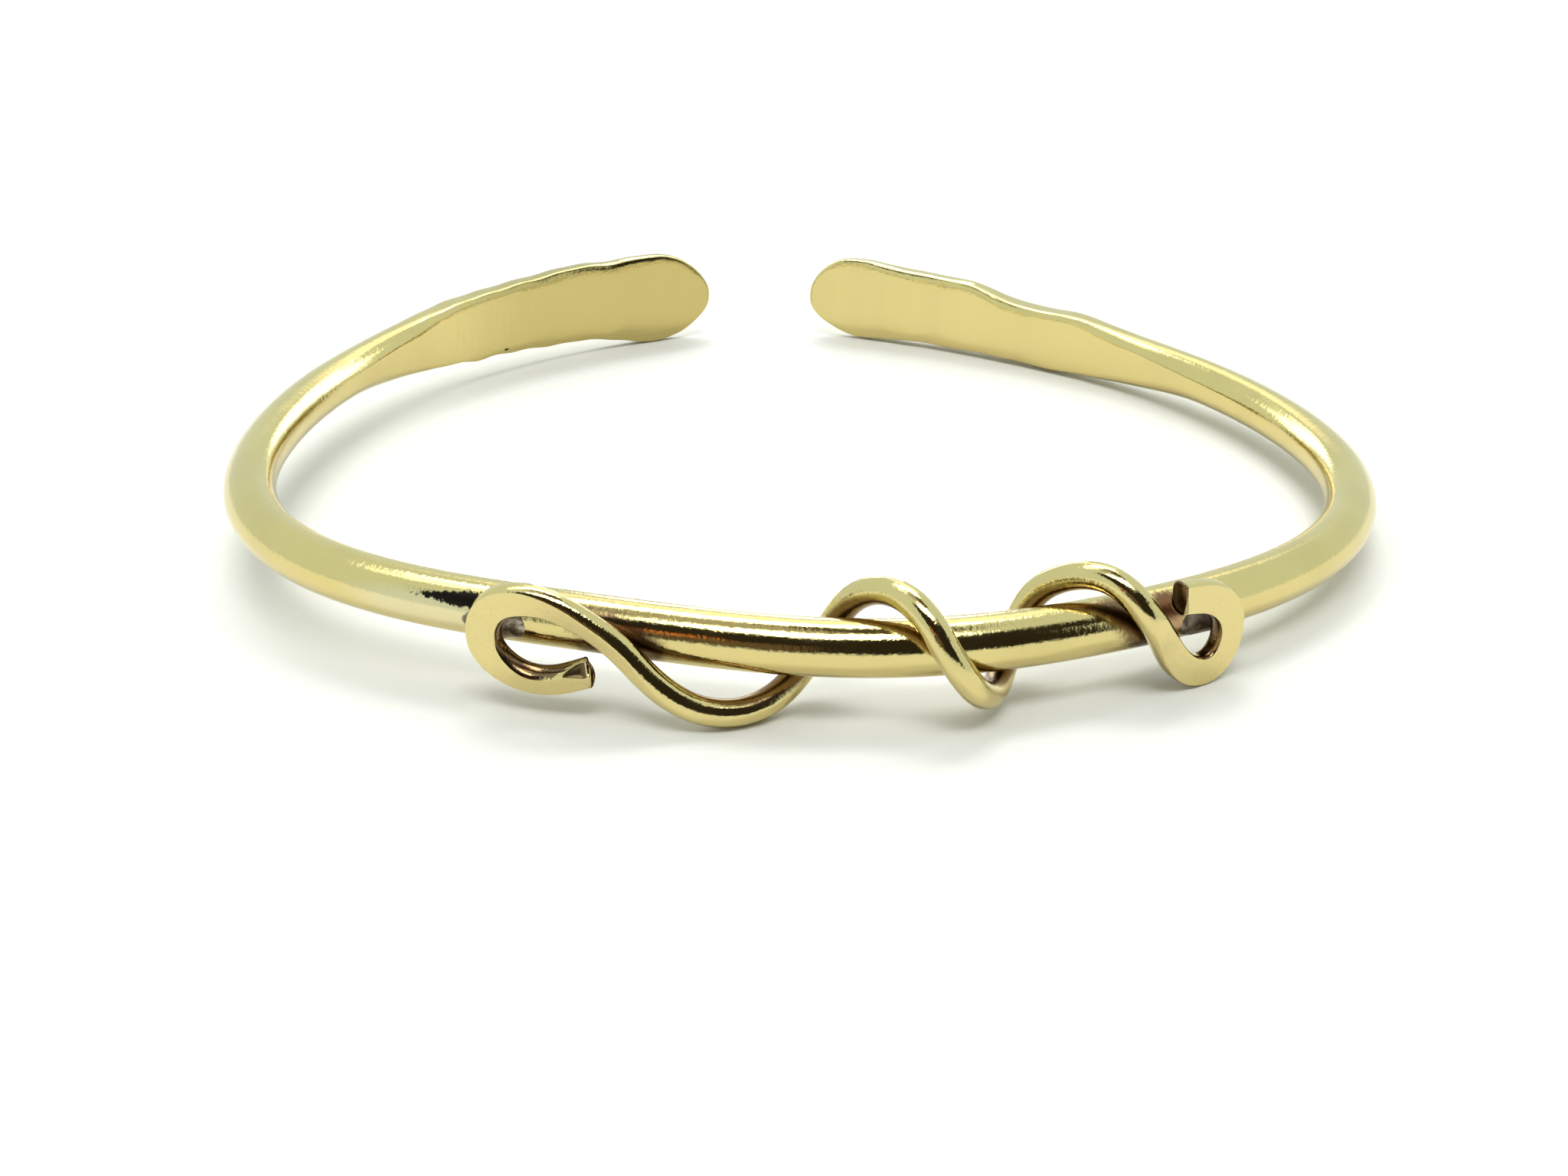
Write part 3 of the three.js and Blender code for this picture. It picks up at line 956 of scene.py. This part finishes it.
def solder(name, color, dark):
    """Dull, pitted solder, half covered by dark burnt flux."""
    material, nodes, shader = new_material(name)
    place = nodes.add("ShaderNodeAttribute", attribute_name="straight").outputs["Vector"]
    burnt = nodes.ramp(nodes.noise(place, 1.6, detail=5, roughness=0.65), 0.42, 0.6)
    nodes.feed(shader.inputs["Base Color"], nodes.mix(burnt, color, dark))
    shader.inputs["Metallic"].default_value = 1
    rough = nodes.math("MULTIPLY_ADD", burnt, FLUX_ROUGHNESS, SOLDER_ROUGHNESS)
    nodes.feed(shader.inputs["Roughness"], rough)
    grain = nodes.noise(place, 7, detail=4, roughness=0.6)
    pits = nodes.ramp(nodes.noise(place, 4), 0.36, 0.28)
    height = nodes.math("MULTIPLY_ADD", pits, -PIT_DEPTH, grain)
    nodes.feed(shader.inputs["Normal"], nodes.bump(height, GRAIN_DEPTH))
    return material


# ---- Pieces ----


def finish_piece(piece, cad_node, material):
    """Gives a piece its material and its body, and hides the CAD node that it stands in for."""
    piece.data.materials.append(material)
    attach(piece, "root")
    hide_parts(cad_node)


def spot(along, around, middle, size):
    """A soft round patch: positive inside it, in about the units of its smaller size."""
    reach = np.hypot((along - middle[0]) / size[0], (around - middle[1]) / size[1])
    return (1 - reach) * min(size)


def wire_gap(points):
    """How far points are from the wire's surface, in millimetres."""
    wire = wire_line(GAP_SAMPLES)[0]
    gap = [np.sqrt(((row[:, None] - wire[None]) ** 2).sum(-1)).min(1) for row in points]
    return np.array(gap) - WIRE_RADIUS


def soot_wedge(along, around):
    """How far places are inside the wedge of soot beside the left hook."""
    half = SOOT_HALF_WIDTH * np.clip((along - SOOT_POINT) / SOOT_GROWTH, -1, 1)
    middle_along, middle_around = SOOT_MIDDLE
    line = middle_around + SOOT_SLOPE * (along - middle_along)
    return np.minimum(half - np.abs(around - line), SOOT_END - along)


def rod_stains_and_shade(distance, angle, gap):
    """Masks of the rod's stains and painted shade, positive inside each. Around the rod, places
    are counted in millimetres from its outward side, upwards."""
    along = distance - FRONT_DISTANCE
    around = ROD_RADIUS * ((angle + np.pi) % (2 * np.pi) - np.pi)
    left_heat_and_shade = np.minimum(LEFT_HEAT_AND_SHADE_REACH - gap, spot(along, around, *LEFT_HEAT_AND_SHADE))
    right_heat_and_shade = np.minimum(RIGHT_HEAT_AND_SHADE_REACH - gap, spot(along, around, *RIGHT_HEAT_AND_SHADE))
    pit_distance, pit_around, pit_radius = PIT
    pit = pit_radius - np.hypot(distance - pit_distance, around - pit_around)
    masks = {name: spot(along, around, *place) for name, place in STAIN_SPOTS.items()}
    masks["darker_left_paddle"] = np.clip((DARKENING_END - distance) / DARKENING_FADE, -1, DARKENING_MOST)
    # Painted shade on the rod close to the wire, joined with the heat colour beside the hooks.
    masks["heat_tint_and_painted_shade"] = np.maximum(PAINTED_SHADE_RIM - gap, np.maximum(left_heat_and_shade, right_heat_and_shade))
    masks["soot"] = np.maximum(soot_wedge(along, around), pit)
    return masks


def rod_piece():
    """The rod and its paddles."""
    rings = rod_rings()
    angle = round_angles()
    distance = ring_distances()[:, None] + 0 * angle
    across = [ROD_RADIUS * turn + 0 * distance for turn in (np.cos(angle), np.sin(angle))]
    straight = np.stack([distance, *across], -1)
    masks = rod_stains_and_shade(distance, angle, wire_gap(rings))
    piece = tube_object("rod_body", rings, straight, masks)
    material = brass("rod_brass", ROD_COLOR, POLISH, ROD_STAINS_AND_SHADE)
    finish_piece(piece, "cuff_rod", material)


def wire_scale(straight):
    """Fire scale on the inner walls of both hooks."""
    share = straight[..., 0] / WIRE_LENGTH
    across = straight[..., 2] / SCALE_HALF_WIDTH
    left = -across * (1 - smoothstep(share, *LEFT_SCALE_END))
    right = across * smoothstep(share, *RIGHT_SCALE_START)
    return 0.5 * np.maximum(left, right) - SCALE_THRESHOLD


def wire_piece():
    """The wound wire and its two hooks."""
    rings, straight, masks = whole_wire()
    piece = tube_object("wire_body", rings, straight, masks)
    material = brass("wire_brass", WIRE_COLOR, POLISH, WIRE_STAINS_AND_SHADE)
    finish_piece(piece, "wrap_wire", material)


def lumps(along, around, seed):
    """Smooth unevenness between about -1 and 1, from a few dozen crossing waves."""
    draw = np.random.default_rng(seed)
    height = 0 * along
    for _ in range(LUMP_WAVES):
        heading = draw.uniform(0, 2 * np.pi)
        closeness = draw.uniform(*LUMP_CLOSENESS)
        phase = draw.uniform(0, 2 * np.pi)
        travel = along * np.cos(heading) + around * np.sin(heading)
        height = height + np.sin(closeness * travel + phase) / closeness**LUMP_WEAKENING
    return height / LUMP_SUM


def solder_piece(names, place, colors):
    """A skin of solder on the rod, thick against the wire, with an uneven border where it
    dips under the rod's surface."""
    name, cad_node = names
    middle, size, seed = place
    reach = np.array(size) * SOLDER_SHEET
    along = middle[0] + np.linspace(-reach[0], reach[0], SOLDER_ROWS)[:, None]
    around = middle[1] + np.linspace(-reach[1], reach[1], SOLDER_COLUMNS)[None, :]
    along, around = along + 0 * around, around + 0 * along
    turn = around / ROD_RADIUS
    centre, _, outward = rod_frame(FRONT_DISTANCE + along)
    direction = np.cos(turn)[..., None] * outward + np.sin(turn)[..., None] * UP
    gap = wire_gap(centre + ROD_RADIUS * direction)
    ragged_edge = BORDER_RAGGEDNESS * lumps(along, around, seed)
    border = smoothstep(spot(along, around, middle, size) + ragged_edge, *SOLDER_BORDER)
    uneven = SKIN_UNEVENNESS * lumps(along, around, seed + 1) * border
    fillet = FILLET_HEIGHT * np.exp(-((np.maximum(gap, 0) / FILLET_REACH) ** 2))
    thickness = border * (SOLDER_SKIN + fillet) - SOLDER_DIP + uneven
    top = centre + (ROD_RADIUS + thickness)[..., None] * direction
    bottom = centre + (ROD_RADIUS - SOLDER_UNDERSIDE) * direction
    rings = np.concatenate([top, bottom[:, ::-1]], axis=1)
    straight = np.stack([along, around, thickness], -1)
    straight = np.concatenate([straight, straight[:, ::-1]], axis=1)
    piece = tube_object(name, rings, straight, {})
    finish_piece(piece, cad_node, solder(name, *colors))


# ---- Studio ----


def floor():
    """The pale surface that the cuff lies on."""
    mesh = bpy.data.meshes.new("floor")
    signs = ((-1, -1), (1, -1), (1, 1), (-1, 1))
    corners = [(FLOOR_REACH * x, FLOOR_REACH * y, 0) for x, y in signs]
    mesh.from_pydata(corners, [], [(0, 1, 2, 3)])
    piece = bpy.data.objects.new("floor", mesh)
    bpy.context.scene.collection.objects.link(piece)
    material, _, shader = new_material("floor_white")
    shader.inputs["Base Color"].default_value = (*FLOOR_COLOR, 1)
    shader.inputs["Roughness"].default_value = FLOOR_ROUGHNESS
    mesh.materials.append(material)


def world():
    """A white tent with strip lights above and a dark room beyond its opening. Azimuths are
    in degrees from the camera's side of the cuff to the right, and heights above level."""
    made = bpy.data.worlds.new("studio")
    bpy.context.scene.world = made
    made.use_nodes = True
    nodes = Nodes(made.node_tree)
    direction = nodes.add("ShaderNodeTexCoord").outputs["Generated"]
    x, y, z = nodes.add("ShaderNodeSeparateXYZ", {"Vector": direction}).outputs
    towards_camera = nodes.math("MULTIPLY", y, -1.0)
    azimuth = nodes.math("DEGREES", nodes.math("ARCTAN2", x, towards_camera))
    height = nodes.math("DEGREES", nodes.math("ARCSINE", z))

    def both(first, second):
        """1 where both masks are 1."""
        return nodes.math("MULTIPLY", first, second)

    def either(first, second):
        """1 where either mask is 1."""
        return nodes.math("MAXIMUM", first, second)

    def panel(left, right, low, high, soft=2.5):
        """1 inside a range of azimuths and heights."""
        wide = nodes.between(azimuth, left, right, soft)
        return both(wide, nodes.between(height, low, high, soft))

    def behind(right, left, soft=4):
        """1 past both azimuths, round the back."""
        past_right = nodes.ramp(azimuth, right - soft, right + soft)
        return either(past_right, nodes.ramp(azimuth, left + soft, left - soft))

    def rear_panel(right, left, low, high, soft):
        """1 past both azimuths, round the back, inside a range of heights."""
        return both(behind(right, left), nodes.between(height, low, high, soft))

    slant = nodes.ramp(nodes.math("ADD", height, azimuth), -13, -9)
    opening = either(panel(-33, 60, 3, 58), panel(56, 78, 34, 56, 3))
    opening = either(opening, both(panel(-62, -30, 10, 57), slant))
    roof_gap = both(behind(58, -170), nodes.ramp(height, 69, 72))
    layers = [
        (rear_panel(155, -168, 30, 58, 4), (1.7, 1.7, 1.6)),
        (nodes.ramp(height, 69.5, 72.5), (0.55, 0.55, 0.5)),
        (roof_gap, (0.1, 0.085, 0.06)),
        (opening, (0.03, 0.024, 0.018)),
        (panel(-30, -5, 4, 27, 4), (0.15, 0.11, 0.07)),
        (panel(-27.8, -26.6, 21, 31, 0.4), (4.5, 1.3, 0.3)),
        (panel(-48, 57, 61.5, 78), (8.0, 8.0, 7.7)),
        (rear_panel(148, -104, 56, 69, 2), (2.6, 2.6, 2.5)),
        (rear_panel(152, -142, 55, 69, 2), (8.0, 8.0, 7.7)),
    ]
    color = (0.83, 0.93, 0.93)
    for mask, light in layers:
        color = nodes.mix(mask, color, light)
    seen = nodes.add("ShaderNodeLightPath").outputs["Is Camera Ray"]
    color = nodes.mix(seen, color, (1.0, 1.0, 1.0))
    nodes.feed(made.node_tree.nodes["Background"].inputs["Color"], color)


def rear_card():
    """A low glowing card behind the cuff, which only the metal reflects."""
    data = bpy.data.lights.new("rear_card", "AREA")
    data.shape = "RECTANGLE"
    data.size, data.size_y = CARD_SIZE
    data.energy = CARD_GLOW * math.pi * data.size * data.size_y
    piece = bpy.data.objects.new("rear_card", data)
    piece.location = CARD_PLACE
    piece.rotation_euler = (math.radians(CARD_TILT), 0, 0)
    piece.visible_camera = False
    piece.visible_diffuse = False
    bpy.context.scene.collection.objects.link(piece)


def camera():
    """The camera, in front of the cuff and above it."""
    data = bpy.data.cameras.new("photo_camera")
    data.lens = CAMERA_LENS
    data.sensor_width = CAMERA_SENSOR
    data.clip_start = CAMERA_NEAR
    piece = bpy.data.objects.new("photo_camera", data)
    piece.location = CAMERA_PLACE
    turn = Matrix.Rotation(math.radians(CAMERA_TURN), 4, "Z")
    dip = Matrix.Rotation(math.radians(90 - CAMERA_DIP), 4, "X")
    roll = Matrix.Rotation(math.radians(CAMERA_ROLL), 4, "Z")
    piece.rotation_euler = (turn @ dip @ roll).to_euler()
    bpy.context.scene.collection.objects.link(piece)
    bpy.context.scene.camera = piece


OFFSET = stand_offset()
rod_piece()
wire_piece()
for joint in SOLDER_JOINTS:
    solder_piece(*joint)
floor()
world()
rear_card()
camera()
bpy.context.scene.view_settings.view_transform = "Standard"
